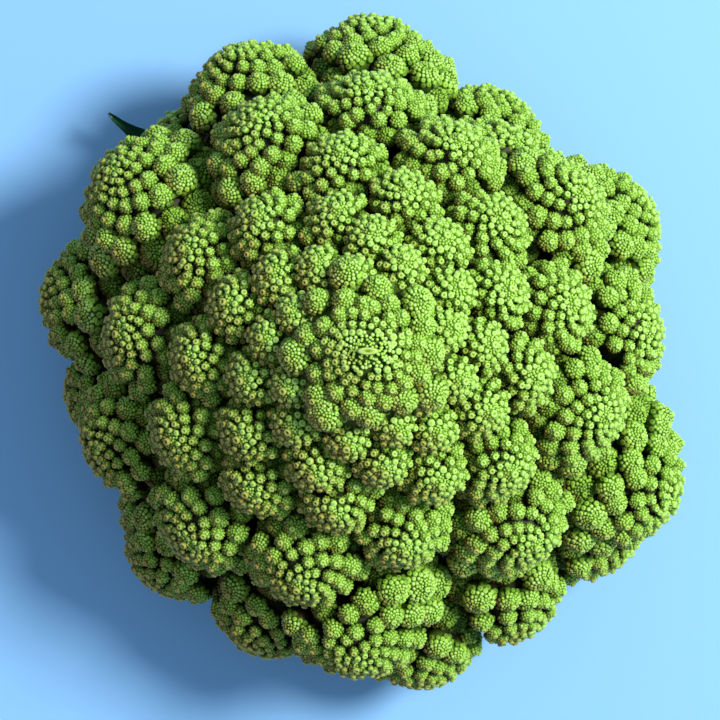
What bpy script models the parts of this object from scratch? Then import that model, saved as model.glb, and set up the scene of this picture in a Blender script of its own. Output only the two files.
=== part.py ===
"""A romanesco head, standing apex up on the cut end of its stalk, with the growing tip above the origin.

The florets follow one spiral: each is the golden angle on from the last and a fixed share further out.
Lengths are in metres, and +Z is up.
"""

import math

import bmesh
import bpy
from mathutils import Matrix, Vector

# Driving dimensions of the whole head.
RIM_RADIUS = 0.081  # from the axis to the tips of the outermost florets
RIM_HEIGHT = 0.036  # of those tips above the surface that the head stands on
DOME_HEIGHT = 0.077  # from those tips up to the growing tip
DOME_CONE = 1.1  # 1 makes the top a straight cone, and 2 a round dome
DOME_SHOULDER = 0.62  # the smaller, the steeper the flank at the rim
RIM_ROLL = 0.9  # radians that the florets roll over for each rim radius past the rim
STEEPEST_FLORET = math.radians(88)
RIM_TUCK = 0.5  # how far each step past the rim goes down, as a share of its length
LEAN = 0.057  # above its rim the head is this much fuller on its LEAN_SIDE than on average
LEAN_SIDE = math.radians(59)
LEAN_FADE = 4  # the higher, the nearer the rim before the lean is gone

# The spiral that sets out the florets, counted outward from number 0 at 23 mm from the axis.
SPIRAL_START = math.radians(-17.2)
SPIRAL_TURN = math.radians(137.479)
SPIRAL_DRIFT = math.radians(0.0042)  # the turn widens slightly from floret to floret
SPIRAL_RADIUS = 0.0233
SPIRAL_GROWTH = 0.0256
FIRST_IN_CROWN = -8  # the crown's own outermost florets, still fused to the stalk
FIRST_FLORET = 5
LAST_FLORET = 60

# Florets that grew away from the law: further round in degrees, and further out as a factor.
STRAY = {
    13: (3, 1.0),
    14: (-6, 1.0),
    23: (-9, 1.0),
    28: (-6, 0.98),
    31: (-8, 0.98),
    34: (3, 1.06),
    35: (-4, 1.07),
    36: (-4, 1.06),
    37: (1, 1.04),
    38: (3, 1.0),
    40: (1, 0.97),
    43: (3, 1.10),
    44: (-12, 1.10),
    45: (-3, 0.86),
    46: (4, 0.97),
    47: (0, 1.09),
    48: (3, 1.04),
    51: (4, 1.03),
    52: (-3, 1.02),
    53: (8, 1.05),
    54: (7, 1.0),
    55: (4, 0.82),
    56: (-3, 0.97),
    57: (8, 1.07),
    58: (10, 0.93),
    59: (0, 0.96),
    60: (-4, 1.05),
}

# One floret: how wide for its place, and its form as shares of its width.
WIDTH_FOR_RADIUS = 0.43
STEEPEST_FOR_WIDTH = math.radians(62)
WIDEST_FLORET = 0.040
TIP_SHARE = 0.58  # from the middle of the floret out to its tip
SIDE_SHARE = 0.57  # from its middle sideways, a little into its neighbours' room
TIP_SQUARENESS = 1.45  # 1 is a straight cone, 2 an ellipsoid
STEM_SQUARENESS = 1.25
STEM_REACH = 1.6  # of the distance to the head's axis, before the stalk stops it
FLORET_SIDES = 14
FLORET_RINGS = 8
CROWN_FLORET_SIDES = 10
CROWN_FLORET_RINGS = 6

# The stalk: a tapering core that ends in the crown.
CUT_RADIUS = 0.0200
CUT_BEVEL = 0.0015
CORE_FOOT = 0.0060  # height up to which the stalk keeps its full thickness
NECK_RADIUS = 0.0115
CROWN_RADIUS = 0.0170  # out to where its separate florets begin to show
CROWN_TILT = math.radians(38)  # of the crown's underside from the vertical
CROWN_STEPS = 4
STALK_SIDES = 28

GAP = 0.0003  # between pieces that touch
UNDERSIDE_HEIGHT = 0.019  # of the florets where they meet the stalk
UNDERSIDE_SLOPE = math.radians(14)  # their undersides hang down toward the rim
OVER_LEAF_HEIGHT = 0.0108  # the same two for the florets that the leaf lies under
OVER_LEAF_SLOPE = math.radians(-8)
OVER_LEAF_SPREAD = math.radians(24)
FLOOR_CLEARANCE = 0.004

# Cut leaf bases round the foot of the stalk, and the one small leaf left on.
STUB_TURNS = [math.radians(turn) for turn in (20, 250)]
STUB_LENGTHS = (0.013, 0.015)
STUB_WIDTH = 0.017
STUB_THICKNESS = 0.0065
STUB_END_SHARE = 0.42  # half the width of a stub's cut end beside its root's width
STUB_ROOT_GAP = 0.0010  # between the stalk and a stub
STUB_HEIGHT = 0.0095
LEAF_TURN = math.radians(135)
LEAF_ROOT_HEIGHT = 0.0075
LEAF_TIP_RADIUS = 0.0900
LEAF_TIP_HEIGHT = 0.0165
LEAF_WIDTH = 0.017
LEAF_THICKNESS = 0.0016
LEAF_TIP_SHARE = 0.35  # the last row's width beside the one the blade would have
LEAF_TROUGH = 0.0015  # how far the blade's edges stand above its midrib
LEAF_ROOT_GAP = 0.0006  # between the stalk and the leaf's root
LEAF_CURL = 5  # a higher power lifts less of the leaf off the floor
LEAF_SAG = 0.004  # how far the middle of the leaf hangs
LEAF_BLADE_START = 0.12  # share of the leaf's length where its stalk widens
LEAF_STALK_HALF_WIDTH = 0.0028
LEAF_FULLNESS = 0.8  # below 1 the blade keeps its width for longer
LEAF_TAPER = 0.15
LEAF_ROWS = 12
LEAF_COLUMNS = 4

# Colours as linear red, green and blue.
FLORET_GREEN = (0.26, 0.48, 0.07)
CROWN_GREEN = (0.34, 0.55, 0.10)
STUB_GREEN = (0.52, 0.62, 0.33)
LEAF_GREEN = (0.03, 0.14, 0.10)


def clear_scene():
    for old in list(bpy.data.objects):
        bpy.data.objects.remove(old, do_unlink=True)


def make_collection(name):
    collection = bpy.data.collections.new(name)
    bpy.context.scene.collection.children.link(collection)
    return collection


def make_material(name, colour, roughness):
    material = bpy.data.materials.new(name)
    material.use_nodes = True
    shader = material.node_tree.nodes["Principled BSDF"]
    shader.inputs["Base Color"].default_value = (*colour, 1.0)
    shader.inputs["Roughness"].default_value = roughness
    shader.inputs["Metallic"].default_value = 0.0
    return material


def add_object(name, mesh, material, collection):
    mesh.materials.append(material)
    mesh.shade_smooth()
    obj = bpy.data.objects.new(name, mesh)
    collection.objects.link(obj)
    return obj


def mesh_from(bm, name):
    mesh = bpy.data.meshes.new(name)
    bm.to_mesh(mesh)
    bm.free()
    return mesh


# The dome and the spiral on it.


def dome_height(reach):
    """Height of the florets' tips, reach being 1 at the rim and more beyond it."""
    if reach >= 1:
        return RIM_HEIGHT - RIM_TUCK * RIM_RADIUS * (reach - 1)
    return RIM_HEIGHT + DOME_HEIGHT * (1 - reach**DOME_CONE) ** DOME_SHOULDER


def dome_tilt(reach):
    """How far the dome's normal leans outward from the vertical."""
    step = 0.01
    inner = min(max(reach - step, 0), 1 - 2 * step)
    drop = dome_height(inner) - dome_height(inner + 2 * step)
    slope_tilt = math.atan2(drop, 2 * step * RIM_RADIUS)
    past_rim = max(reach - 1, 0)
    return min(slope_tilt + RIM_ROLL * past_rim, STEEPEST_FLORET)


def spoke(turn, radius, height):
    """The point at this turn round the axis, this far out and this high."""
    return Vector((radius * math.cos(turn), radius * math.sin(turn), height))


class Floret:
    """Where one floret stands, which way it points and how wide it is."""

    def __init__(self, number):
        further_round, further_out = STRAY.get(number, (0, 1))
        reach = SPIRAL_RADIUS * math.exp(SPIRAL_GROWTH * number) / RIM_RADIUS
        self.number = number
        self.name = f"floret_{number:02d}"
        self.turn = SPIRAL_START + SPIRAL_TURN * number + SPIRAL_DRIFT * number**2
        self.turn += math.radians(further_round)
        radius = RIM_RADIUS * min(reach, 1) * further_out
        radius *= 1 + LEAN * (1 - min(reach, 1) ** LEAN_FADE) * math.cos(self.turn - LEAN_SIDE)
        tilt = dome_tilt(reach)
        crowding = math.sqrt(math.cos(min(tilt, STEEPEST_FOR_WIDTH)))
        self.width = min(WIDTH_FOR_RADIUS * radius / crowding, WIDEST_FLORET)
        self.axis = spoke(self.turn, math.sin(tilt), math.cos(tilt))
        tip = spoke(self.turn, radius, dome_height(reach))
        self.middle = tip - self.axis * TIP_SHARE * self.width
        self.frame = self.axis.to_track_quat("Z", "Y").to_matrix()


def crown_edge_height():
    return dome_height(CROWN_RADIUS / RIM_RADIUS)


def neck_height():
    return crown_edge_height() - (CROWN_RADIUS - NECK_RADIUS) / math.tan(CROWN_TILT)


def underside(turn):
    """Height at the stalk and slope of the florets' undersides at this turn."""
    if math.cos(turn - LEAF_TURN) > math.cos(OVER_LEAF_SPREAD):
        return OVER_LEAF_HEIGHT, OVER_LEAF_SLOPE
    return UNDERSIDE_HEIGHT, UNDERSIDE_SLOPE


def fixed_planes(turn):
    """The planes that every floret at this turn keeps to: (a point, the normal out of the floret)."""
    taper = math.atan2(CUT_RADIUS - NECK_RADIUS, neck_height() - CORE_FOOT)
    core = spoke(turn, -math.cos(taper), -math.sin(taper))
    crown = spoke(turn, -math.cos(CROWN_TILT), math.sin(CROWN_TILT))
    under_height, under_slope = underside(turn)
    under = spoke(turn, -math.sin(under_slope), -math.cos(under_slope))
    return [
        (spoke(turn, CUT_RADIUS + GAP, CORE_FOOT), core),
        (spoke(turn, CROWN_RADIUS + GAP, crown_edge_height()), crown),
        (spoke(turn, CUT_RADIUS, under_height), under),
        (spoke(turn, 0, FLOOR_CLEARANCE), Vector((0, 0, -1))),
    ]


def neighbour_plane(floret, other):
    """The plane between two florets, nearer the narrower one, half a gap back from the middle."""
    across = other.middle - floret.middle
    share = floret.width / (floret.width + other.width)
    normal = across.normalized()
    return floret.middle + across * share - normal * GAP / 2, normal


def cell_of(floret, florets, planes):
    """The room that these planes and the other florets leave: (normal in its frame, distance)."""
    planes = planes + [neighbour_plane(floret, other) for other in florets if other is not floret]
    to_local = floret.frame.transposed()
    return [(to_local @ normal, normal.dot(point - floret.middle)) for point, normal in planes]


def free_radius(direction, tip, side, stem):
    """From the middle to the skin where nothing presses: pointed in front, a stem behind."""
    along, across = abs(direction.z), math.hypot(direction.x, direction.y)
    length = tip if direction.z > 0 else stem
    power = TIP_SQUARENESS if direction.z > 0 else STEM_SQUARENESS
    return ((along / length) ** power + (across / side) ** power) ** (-1 / power)


def make_floret(floret, cell, stem, sides, rings, material, collection):
    """A floret's head and stem as one solid, pressed flat where its neighbours and the stalk meet it."""
    bm = bmesh.new()
    bmesh.ops.create_uvsphere(bm, u_segments=sides, v_segments=rings, radius=1)
    for vertex in bm.verts:
        direction = vertex.co.normalized()
        radius = free_radius(direction, TIP_SHARE * floret.width, SIDE_SHARE * floret.width, stem)
        for normal, reach in cell:
            facing = normal.dot(direction)
            if facing > 0:
                radius = min(radius, reach / facing)
        vertex.co = direction * radius
    obj = add_object(floret.name, mesh_from(bm, floret.name), material, collection)
    obj.matrix_world = Matrix.Translation(floret.middle) @ floret.frame.to_4x4()
    return obj


def stalk_profile():
    """Half the stalk's outline as (radius, height), from the growing tip down to the cut end."""
    crown = []
    for step in range(CROWN_STEPS + 1):
        radius = CROWN_RADIUS * step / CROWN_STEPS
        crown.append((radius, dome_height(radius / RIM_RADIUS)))
    core = [
        (NECK_RADIUS, neck_height()),
        (CUT_RADIUS, CORE_FOOT),
        (CUT_RADIUS, CUT_BEVEL),
        (CUT_RADIUS - CUT_BEVEL, 0),
        (0, 0),
    ]
    return crown + core


def make_stalk(crown_florets, material, collection):
    """The stalk up to the growing tip, with the crown's florets joined to it."""
    bm = bmesh.new()
    points = [bm.verts.new((radius, 0, height)) for radius, height in stalk_profile()]
    for upper, lower in zip(points, points[1:]):
        bm.edges.new((upper, lower))
    stalk = add_object("stalk", mesh_from(bm, "stalk"), material, collection)
    screw = stalk.modifiers.new("turn", "SCREW")
    screw.steps = screw.render_steps = STALK_SIDES
    screw.use_merge_vertices = True
    screw.merge_threshold = 0.0001
    join = stalk.modifiers.new("crown_florets", "BOOLEAN")
    join.operation = "UNION"
    join.operand_type = "COLLECTION"
    join.collection = crown_florets
    return stalk


def make_stub(number, turn, length, material, collection):
    """The base of a leaf that was cut off: a short flat rib standing out from the stalk."""
    bm = bmesh.new()
    bmesh.ops.create_cone(
        bm,
        cap_ends=True,
        segments=12,
        radius1=STUB_WIDTH / 2,
        radius2=STUB_END_SHARE * STUB_WIDTH,
        depth=length,
    )
    flatten = Matrix.Diagonal((1, STUB_THICKNESS / STUB_WIDTH, 1)).to_4x4()
    bmesh.ops.transform(bm, matrix=flatten, verts=bm.verts)
    stub = add_object(f"leaf_stub_{number}", mesh_from(bm, "leaf_stub"), material, collection)
    rise = math.radians(8)
    outward = spoke(turn, math.cos(rise), math.sin(rise))
    sideways = spoke(turn + math.pi / 2, 1, 0)
    frame = Matrix((sideways, outward.cross(sideways), outward)).transposed()
    reach = CUT_RADIUS + STUB_ROOT_GAP + length / 2
    stub.matrix_world = Matrix.Translation(spoke(turn, reach, STUB_HEIGHT)) @ frame.to_4x4()
    return stub


def leaf_centre(share):
    """The leaf's midrib, share running from 0 at the stalk to 1 at the tip, which curls up."""
    root = CUT_RADIUS + LEAF_ROOT_GAP
    radius = root + (LEAF_TIP_RADIUS - root) * share
    lift = (LEAF_TIP_HEIGHT - LEAF_ROOT_HEIGHT) * share**LEAF_CURL
    return radius, LEAF_ROOT_HEIGHT + lift - LEAF_SAG * math.sin(math.pi * share)


def leaf_half_width(share):
    """A narrow stalk that widens into a blade and closes to a point."""
    along_blade = min(max((share - LEAF_BLADE_START) / (1 - LEAF_BLADE_START), 0), 1)
    blade = math.sin(math.pi * along_blade) ** LEAF_FULLNESS
    blade_half_width = LEAF_WIDTH / 2 - LEAF_STALK_HALF_WIDTH
    return LEAF_STALK_HALF_WIDTH + blade_half_width * blade * (1 - LEAF_TAPER * share)


def make_leaf(material, collection):
    bm = bmesh.new()
    bmesh.ops.create_grid(bm, x_segments=LEAF_ROWS, y_segments=LEAF_COLUMNS, size=1)
    for vertex in bm.verts:
        share = (vertex.co.x + 1) / 2
        across = vertex.co.y
        radius, height = leaf_centre(share)
        half_width = leaf_half_width(share) * (1 if share < 1 else LEAF_TIP_SHARE)
        vertex.co = (radius, across * half_width, height + LEAF_TROUGH * across**2)
    leaf = add_object("leaf", mesh_from(bm, "leaf"), material, collection)
    leaf.rotation_euler.z = LEAF_TURN
    solidify = leaf.modifiers.new("thickness", "SOLIDIFY")
    solidify.thickness = LEAF_THICKNESS
    solidify.offset = 0
    return leaf


def build():
    clear_scene()
    collection = make_collection("romanesco_head")
    curd = make_material("romanesco_curd", FLORET_GREEN, 0.6)
    crown = make_material("romanesco_crown_and_stalk", CROWN_GREEN, 0.55)
    rib = make_material("cut_leaf_rib", STUB_GREEN, 0.5)
    blade = make_material("romanesco_leaf", LEAF_GREEN, 0.45)
    crown_florets = make_collection("crown_florets")
    florets = [Floret(number) for number in range(FIRST_IN_CROWN, LAST_FLORET + 1)]
    for floret in florets:
        to_axis = math.hypot(floret.middle.x, floret.middle.y)
        if floret.number < FIRST_FLORET:
            cell = cell_of(floret, florets, [])
            fused = make_floret(
                floret, cell, 2 * to_axis, CROWN_FLORET_SIDES, CROWN_FLORET_RINGS, crown, crown_florets
            )
            fused.hide_render = True
            fused.display_type = "WIRE"
        else:
            cell = cell_of(floret, florets, fixed_planes(floret.turn))
            make_floret(
                floret, cell, STEM_REACH * to_axis, FLORET_SIDES, FLORET_RINGS, curd, collection
            )
    make_stalk(crown_florets, crown, collection)
    for number, (turn, length) in enumerate(zip(STUB_TURNS, STUB_LENGTHS), start=1):
        make_stub(number, turn, length, rib, collection)
    make_leaf(blade, collection)


build()
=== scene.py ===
# %% [markdown]
# # A romanesco head
#
# A romanesco head is a flower bud that never stops branching. A cone of florets winds round the growing
# tip, each floret is a smaller cone wound with smaller ones, and so on down to buds the size of a pinhead.
# The whole look comes from that one rule, so this lesson writes the rule once and uses it at every size.
# First the fixed frame is loaded: plain solids that say where each piece is and how big it is.

# %% Load the frame
import math

import bpy
import numpy as np
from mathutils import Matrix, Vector


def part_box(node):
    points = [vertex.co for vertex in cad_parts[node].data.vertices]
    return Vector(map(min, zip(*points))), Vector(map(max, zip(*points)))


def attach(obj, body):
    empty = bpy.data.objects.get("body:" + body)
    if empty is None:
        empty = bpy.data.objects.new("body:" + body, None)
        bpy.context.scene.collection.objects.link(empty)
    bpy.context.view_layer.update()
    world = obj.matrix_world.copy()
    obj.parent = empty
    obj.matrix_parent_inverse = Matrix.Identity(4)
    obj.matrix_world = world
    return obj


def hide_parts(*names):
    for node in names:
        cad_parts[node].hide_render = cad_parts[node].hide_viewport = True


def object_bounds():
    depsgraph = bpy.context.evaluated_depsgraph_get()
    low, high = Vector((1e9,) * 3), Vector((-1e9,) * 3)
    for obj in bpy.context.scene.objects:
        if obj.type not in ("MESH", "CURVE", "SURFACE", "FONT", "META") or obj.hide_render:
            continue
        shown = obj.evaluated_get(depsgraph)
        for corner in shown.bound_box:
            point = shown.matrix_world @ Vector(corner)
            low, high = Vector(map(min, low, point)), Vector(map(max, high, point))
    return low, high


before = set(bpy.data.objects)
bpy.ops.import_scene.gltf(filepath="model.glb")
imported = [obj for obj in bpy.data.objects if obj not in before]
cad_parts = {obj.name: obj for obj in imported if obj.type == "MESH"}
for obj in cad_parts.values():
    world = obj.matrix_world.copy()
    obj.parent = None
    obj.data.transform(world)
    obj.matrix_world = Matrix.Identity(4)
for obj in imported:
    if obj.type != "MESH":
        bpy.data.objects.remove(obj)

cad_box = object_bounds()
MM = 0.001
BODY = "root"
box_in_mm = [[round(value / MM, 1) for value in corner] for corner in cad_box]
print("frame:", len(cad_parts), "nodes, box in mm", box_in_mm)

# %% [markdown]
# ## The spiral of the head
#
# Each new floret comes 137.5 degrees round from the one before, the golden angle, which keeps any two
# from lining up. Counted outward, each one stands a fixed share further from the axis. These are the
# driving dimensions that the solids of the frame were built from, so the detailed florets land on them.

# %% The head's driving dimensions
RIM_RADIUS, RIM_HEIGHT = 0.081, 0.036
DOME_HEIGHT, DOME_CONE, DOME_SHOULDER = 0.077, 1.1, 0.62
RIM_TUCK, RIM_ROLL, STEEPEST_FLORET = 0.5, 0.9, math.radians(88)
LEAN, LEAN_SIDE, LEAN_FADE = 0.057, math.radians(59), 4
SPIRAL_START, SPIRAL_TURN, SPIRAL_DRIFT = (math.radians(v) for v in (-17.2, 137.479, 0.0042))
SPIRAL_RADIUS, SPIRAL_GROWTH = 0.0233, 0.0256
FIRST_IN_CROWN, FIRST_FLORET, LAST_FLORET = -8, 5, 60
# Some florets stray from the spiral: by degrees further round, and by a factor in their distance out.
STRAY = {
    13: (3, 1.0), 14: (-6, 1.0), 23: (-9, 1.0), 28: (-6, 0.98), 31: (-8, 0.98), 34: (3, 1.06),
    35: (-4, 1.07), 36: (-4, 1.06), 37: (1, 1.04), 38: (3, 1.0), 40: (1, 0.97), 43: (3, 1.10),
    44: (-12, 1.10), 45: (-3, 0.86), 46: (4, 0.97), 47: (0, 1.09), 48: (3, 1.04), 51: (4, 1.03),
    52: (-3, 1.02), 53: (8, 1.05), 54: (7, 1.0), 55: (4, 0.82), 56: (-3, 0.97), 57: (8, 1.07),
    58: (10, 0.93), 59: (0, 0.96), 60: (-4, 1.05),
}
WIDTH_FOR_RADIUS, STEEPEST_FOR_WIDTH, WIDEST_FLORET = 0.43, math.radians(62), 0.040
TIP_SHARE, SIDE_SHARE, TIP_SQUARENESS, STEM_SQUARENESS = 0.58, 0.57, 1.45, 1.25
CUT_RADIUS, CORE_FOOT, NECK_RADIUS, CROWN_RADIUS = 0.020, 0.006, 0.0115, 0.017
CROWN_TILT = math.radians(38)
UNDERSIDE = (0.019, math.radians(14))
OVER_LEAF, OVER_LEAF_SPREAD = (0.0108, math.radians(-8)), math.radians(24)
LEAF_TURN = math.radians(135)
FLOOR_CLEARANCE = 0.004
print(f"rim {2 * RIM_RADIUS / MM:.0f} mm across, dome {(RIM_HEIGHT + DOME_HEIGHT) / MM:.0f} mm high")


# %% Where a floret stands
def spoke(turn, radius, height):
    """The point at this turn round the axis, this far out and this high."""
    return np.array([radius * math.cos(turn), radius * math.sin(turn), height])


def dome_height(reach):
    """Height of the florets' tips, reach being 1 at the rim and more beyond it."""
    if reach >= 1:
        return RIM_HEIGHT - RIM_TUCK * RIM_RADIUS * (reach - 1)
    return RIM_HEIGHT + DOME_HEIGHT * (1 - reach**DOME_CONE) ** DOME_SHOULDER


def dome_tilt(reach):
    """How far the dome's normal leans outward from the vertical."""
    step = 0.01
    inner = min(max(reach - step, 0), 1 - 2 * step)
    drop = dome_height(inner) - dome_height(inner + 2 * step)
    slope_tilt = math.atan2(drop, 2 * step * RIM_RADIUS)
    return min(slope_tilt + RIM_ROLL * max(reach - 1, 0), STEEPEST_FLORET)


class Floret:
    """Where one floret stands, which way it points and how wide it is."""

    def __init__(self, number):
        further_round, further_out = STRAY.get(number, (0, 1))
        reach = SPIRAL_RADIUS * math.exp(SPIRAL_GROWTH * number) / RIM_RADIUS
        self.number, self.name = number, f"floret_{number:02d}"
        self.turn = SPIRAL_START + SPIRAL_TURN * number + SPIRAL_DRIFT * number**2
        self.turn += math.radians(further_round)
        radius = RIM_RADIUS * min(reach, 1) * further_out
        radius *= 1 + LEAN * (1 - min(reach, 1) ** LEAN_FADE) * math.cos(self.turn - LEAN_SIDE)
        tilt = dome_tilt(reach)
        crowding = math.sqrt(math.cos(min(tilt, STEEPEST_FOR_WIDTH)))
        self.width = min(WIDTH_FOR_RADIUS * radius / crowding, WIDEST_FLORET)
        self.axis = spoke(self.turn, math.sin(tilt), math.cos(tilt))
        self.tip = spoke(self.turn, radius, dome_height(reach))
        self.middle = self.tip - self.axis * TIP_SHARE * self.width


florets = [Floret(number) for number in range(FIRST_IN_CROWN, LAST_FLORET + 1)]
off = 0
for floret in florets:
    if floret.number >= FIRST_FLORET:
        low, high = (np.array(corner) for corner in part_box(floret.name))
        off = max(off, np.max(np.maximum(low - floret.tip, floret.tip - high)))
print(f"{len(florets)} florets, widest {max(f.width for f in florets) / MM:.1f} mm,"
      f" tips at most {off / MM:.2f} mm outside their solids")

# %% [markdown]
# ## The room each floret has
#
# Florets press on each other as they swell, and each ends where its neighbour begins. A plane halfway
# between two middles, shared out by their widths, stands for that contact. The stalk, the crown and the
# undersides are planes too. A floret's skin in any direction is then its own free shape or the nearest
# plane, whichever comes first, which keeps neighbours from growing through each other.

# %% Planes round a floret
def neck_height():
    """Where the stalk is narrowest, just under the crown."""
    return dome_height(CROWN_RADIUS / RIM_RADIUS) - (CROWN_RADIUS - NECK_RADIUS) / math.tan(CROWN_TILT)


def fixed_planes(turn):
    """(point, normal out of the floret) for the stalk, the crown, the underside and the floor."""
    taper = math.atan2(CUT_RADIUS - NECK_RADIUS, neck_height() - CORE_FOOT)
    over_leaf = math.cos(turn - LEAF_TURN) > math.cos(OVER_LEAF_SPREAD)
    height, slope = OVER_LEAF if over_leaf else UNDERSIDE
    return [
        (spoke(turn, CUT_RADIUS, CORE_FOOT), spoke(turn, -math.cos(taper), -math.sin(taper))),
        (spoke(turn, CROWN_RADIUS, dome_height(CROWN_RADIUS / RIM_RADIUS)),
         spoke(turn, -math.cos(CROWN_TILT), math.sin(CROWN_TILT))),
        (spoke(turn, CUT_RADIUS, height), spoke(turn, -math.sin(slope), -math.cos(slope))),
        (spoke(turn, 0, FLOOR_CLEARANCE), np.array([0.0, 0.0, -1.0])),
    ]


def room_of(floret):
    """All the planes that hold a floret in, as normals and distances from its middle."""
    planes = fixed_planes(floret.turn) if floret.number >= FIRST_FLORET else []
    for other in florets:
        if other is not floret:
            across = other.middle - floret.middle
            share = floret.width / (floret.width + other.width)
            planes.append((floret.middle + across * share, across / np.linalg.norm(across)))
    points, normals = (np.array(side) for side in zip(*planes))
    return normals, ((points - floret.middle) * normals).sum(axis=1)


print("planes round the outermost floret:", len(room_of(florets[-1])[1]))

# %% [markdown]
# ## The shape of one bud
#
# Every bud, large or small, is a blunt cone in front that is drawn in behind. A superellipse gives that
# with one number for how square its flank is. The buds on it are placed by their distance from the tip
# along the skin, so a small table turns that distance into an angle from the axis.

# %% A blunt cone and the way along its skin
def free_reach(angle, tip, side, back, front_power, back_power):
    """From a bud's middle to its skin, at these angles from its axis."""
    ahead = angle < math.pi / 2
    length, power = np.where(ahead, tip, back), np.where(ahead, front_power, back_power)
    return ((np.abs(np.cos(angle)) / length) ** power + (np.sin(angle) / side) ** power) ** (-1 / power)


class Skin:
    """The free shape of a bud: its reach, its normal and the distance from its tip along the skin."""

    def __init__(self, tip, side, back, front_power, back_power):
        self.shape = (tip, side, back, front_power, back_power)
        self.angles = np.linspace(0, math.radians(150), 300)
        reach = free_reach(self.angles, *self.shape)
        steps = np.hypot(np.diff(reach * np.cos(self.angles)), np.diff(reach * np.sin(self.angles)))
        self.distances = np.concatenate([[0], np.cumsum(steps)])

    def angle_at(self, distance):
        return np.interp(distance, self.distances, self.angles)

    def distance_at(self, angle):
        return np.interp(angle, self.angles, self.distances)

    def reach(self, angle):
        return free_reach(angle, *self.shape)

    def normal(self, angle):
        """The skin's normal as (outward, forward) parts."""
        tip, side, back, front_power, back_power = self.shape
        ahead = angle < math.pi / 2
        length, power = np.where(ahead, tip, back), np.where(ahead, front_power, back_power)
        reach = self.reach(angle)
        forward = np.sign(np.cos(angle)) / length * (reach * np.abs(np.cos(angle)) / length) ** (power - 1)
        outward = 1 / side * (reach * np.sin(angle) / side) ** (power - 1)
        size = np.hypot(forward, outward)
        return outward / size, forward / size


BUD_TIP = 0.60  # from a bud's middle to its tip, for a width of 1
BUD_SKIN = Skin(BUD_TIP, 0.55, 0.60, 1.7, 2.0)
print(f"a bud is {BUD_SKIN.distance_at(math.pi / 2):.2f} of its width from tip to flank along the skin")

# %% [markdown]
# ## The rule of growth
#
# From the tip outward each bud takes a patch of skin as wide as it is. Near the tip all buds have the
# finest size, and further out they grow with their distance from it, so the pattern looks the same at any
# scale. Each is the golden angle on from the last, to the left in some florets and to the right in others.

# %% Setting buds out along the spiral
GOLDEN = math.radians(137.508)
HEXAGON, CONE_SLOPE, CROWN_SLOPE = 0.87, 0.75, 0.9
PACKING = HEXAGON / (math.pi * CONE_SLOPE)  # a hexagonal patch, on a cone whose sides slope like these


def spiral(start, stop, finest, first, share, coarsest):
    """(distance from the tip, width) of each bud from start to stop."""
    found, distance = [], start
    while distance < stop:
        width = min(max(first + share * distance, finest), coarsest)
        found.append((distance, width))
        distance = math.sqrt(distance**2 + PACKING * width**2)
    return np.array(found).reshape(-1, 2)


def directions(angle, turn):
    """Unit vectors at these angles from the Z axis and turns round it."""
    across = np.sin(angle)
    return np.column_stack([np.cos(turn) * across, np.sin(turn) * across, np.cos(angle)])


def frames_along(axes, spin):
    """A turned frame for each axis: an array of matrices whose third columns are the axes."""
    helper = np.where(np.abs(axes[:, 2:]) < 0.9, [[0.0, 0.0, 1.0]], [[1.0, 0.0, 0.0]])
    first = np.cross(helper, axes)
    first /= np.linalg.norm(first, axis=1, keepdims=True)
    second = np.cross(axes, first)
    turned = first * np.cos(spin)[:, None] + second * np.sin(spin)[:, None]
    return np.stack([turned, np.cross(axes, turned), axes], axis=2)


print("buds on a 30 mm floret:", len(spiral(2.5, 31, 1.15, 0.5, 0.30, 8)))

# %% [markdown]
# ## Stamps
#
# About 150,000 buds are too many to model one by one, and most are under a millimetre wide. Five small
# turned shapes are enough: a grain for the finest buds, a cap for the next, a knob with a dimpled tip for
# larger ones, the dimpled ring that ends every cone, and the husk that the caps of one cone stand on. A
# bump in a material would be lighter, but it would leave the outline smooth, and romanesco's is not.
# Each stamp is a profile turned round its axis. With each point goes how open it lies, from 0 deep in a
# cleft or dimple to 1 on top, which the colours read later as painted shade.

# %% Turn a profile into a stamp
class Stamp:
    """A small turned mesh of width 1. profile: (radius, height, openness) from the foot to the tip."""

    def __init__(self, profile, sides, closed=False):
        rings, (_, top, top_open) = profile[:-1], profile[-1]
        turn = np.arange(sides) * math.tau / sides
        points, openness = [], []
        for number, (radius, height, is_open) in enumerate(rings):
            shift = turn + (number % 2) * math.pi / sides
            circle = [radius * np.cos(shift), radius * np.sin(shift), np.full(sides, height)]
            points.append(np.stack(circle, axis=1))
            openness += [is_open] * sides
        points.append([[0, 0, top]])
        openness.append(top_open)
        faces = []
        for ring in range(len(rings) - 1):
            for side in range(sides):
                after = (side + 1) % sides
                low, high = ring * sides, (ring + 1) * sides
                near, far = (low + side, low + after), (high + side, high + after)
                if ring % 2:  # every other ring is turned by half a side
                    faces += [(near[0], near[1], far[1]), (near[0], far[1], far[0])]
                else:
                    faces += [(near[0], near[1], far[0]), (near[1], far[1], far[0])]
        last = (len(rings) - 1) * sides
        tip = len(rings) * sides
        faces += [(last + side, last + (side + 1) % sides, tip) for side in range(sides)]
        if closed:
            points.append([[0, 0, rings[0][1]]])
            openness.append(rings[0][2])
            faces += [((side + 1) % sides, side, tip + 1) for side in range(sides)]
        self.points, self.faces = np.concatenate(points), np.array(faces)
        self.openness = np.array(openness, float)


# The third number of each point is its openness: low at a stamp's foot and in a dimple, where the colours
# paint shade.
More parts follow.
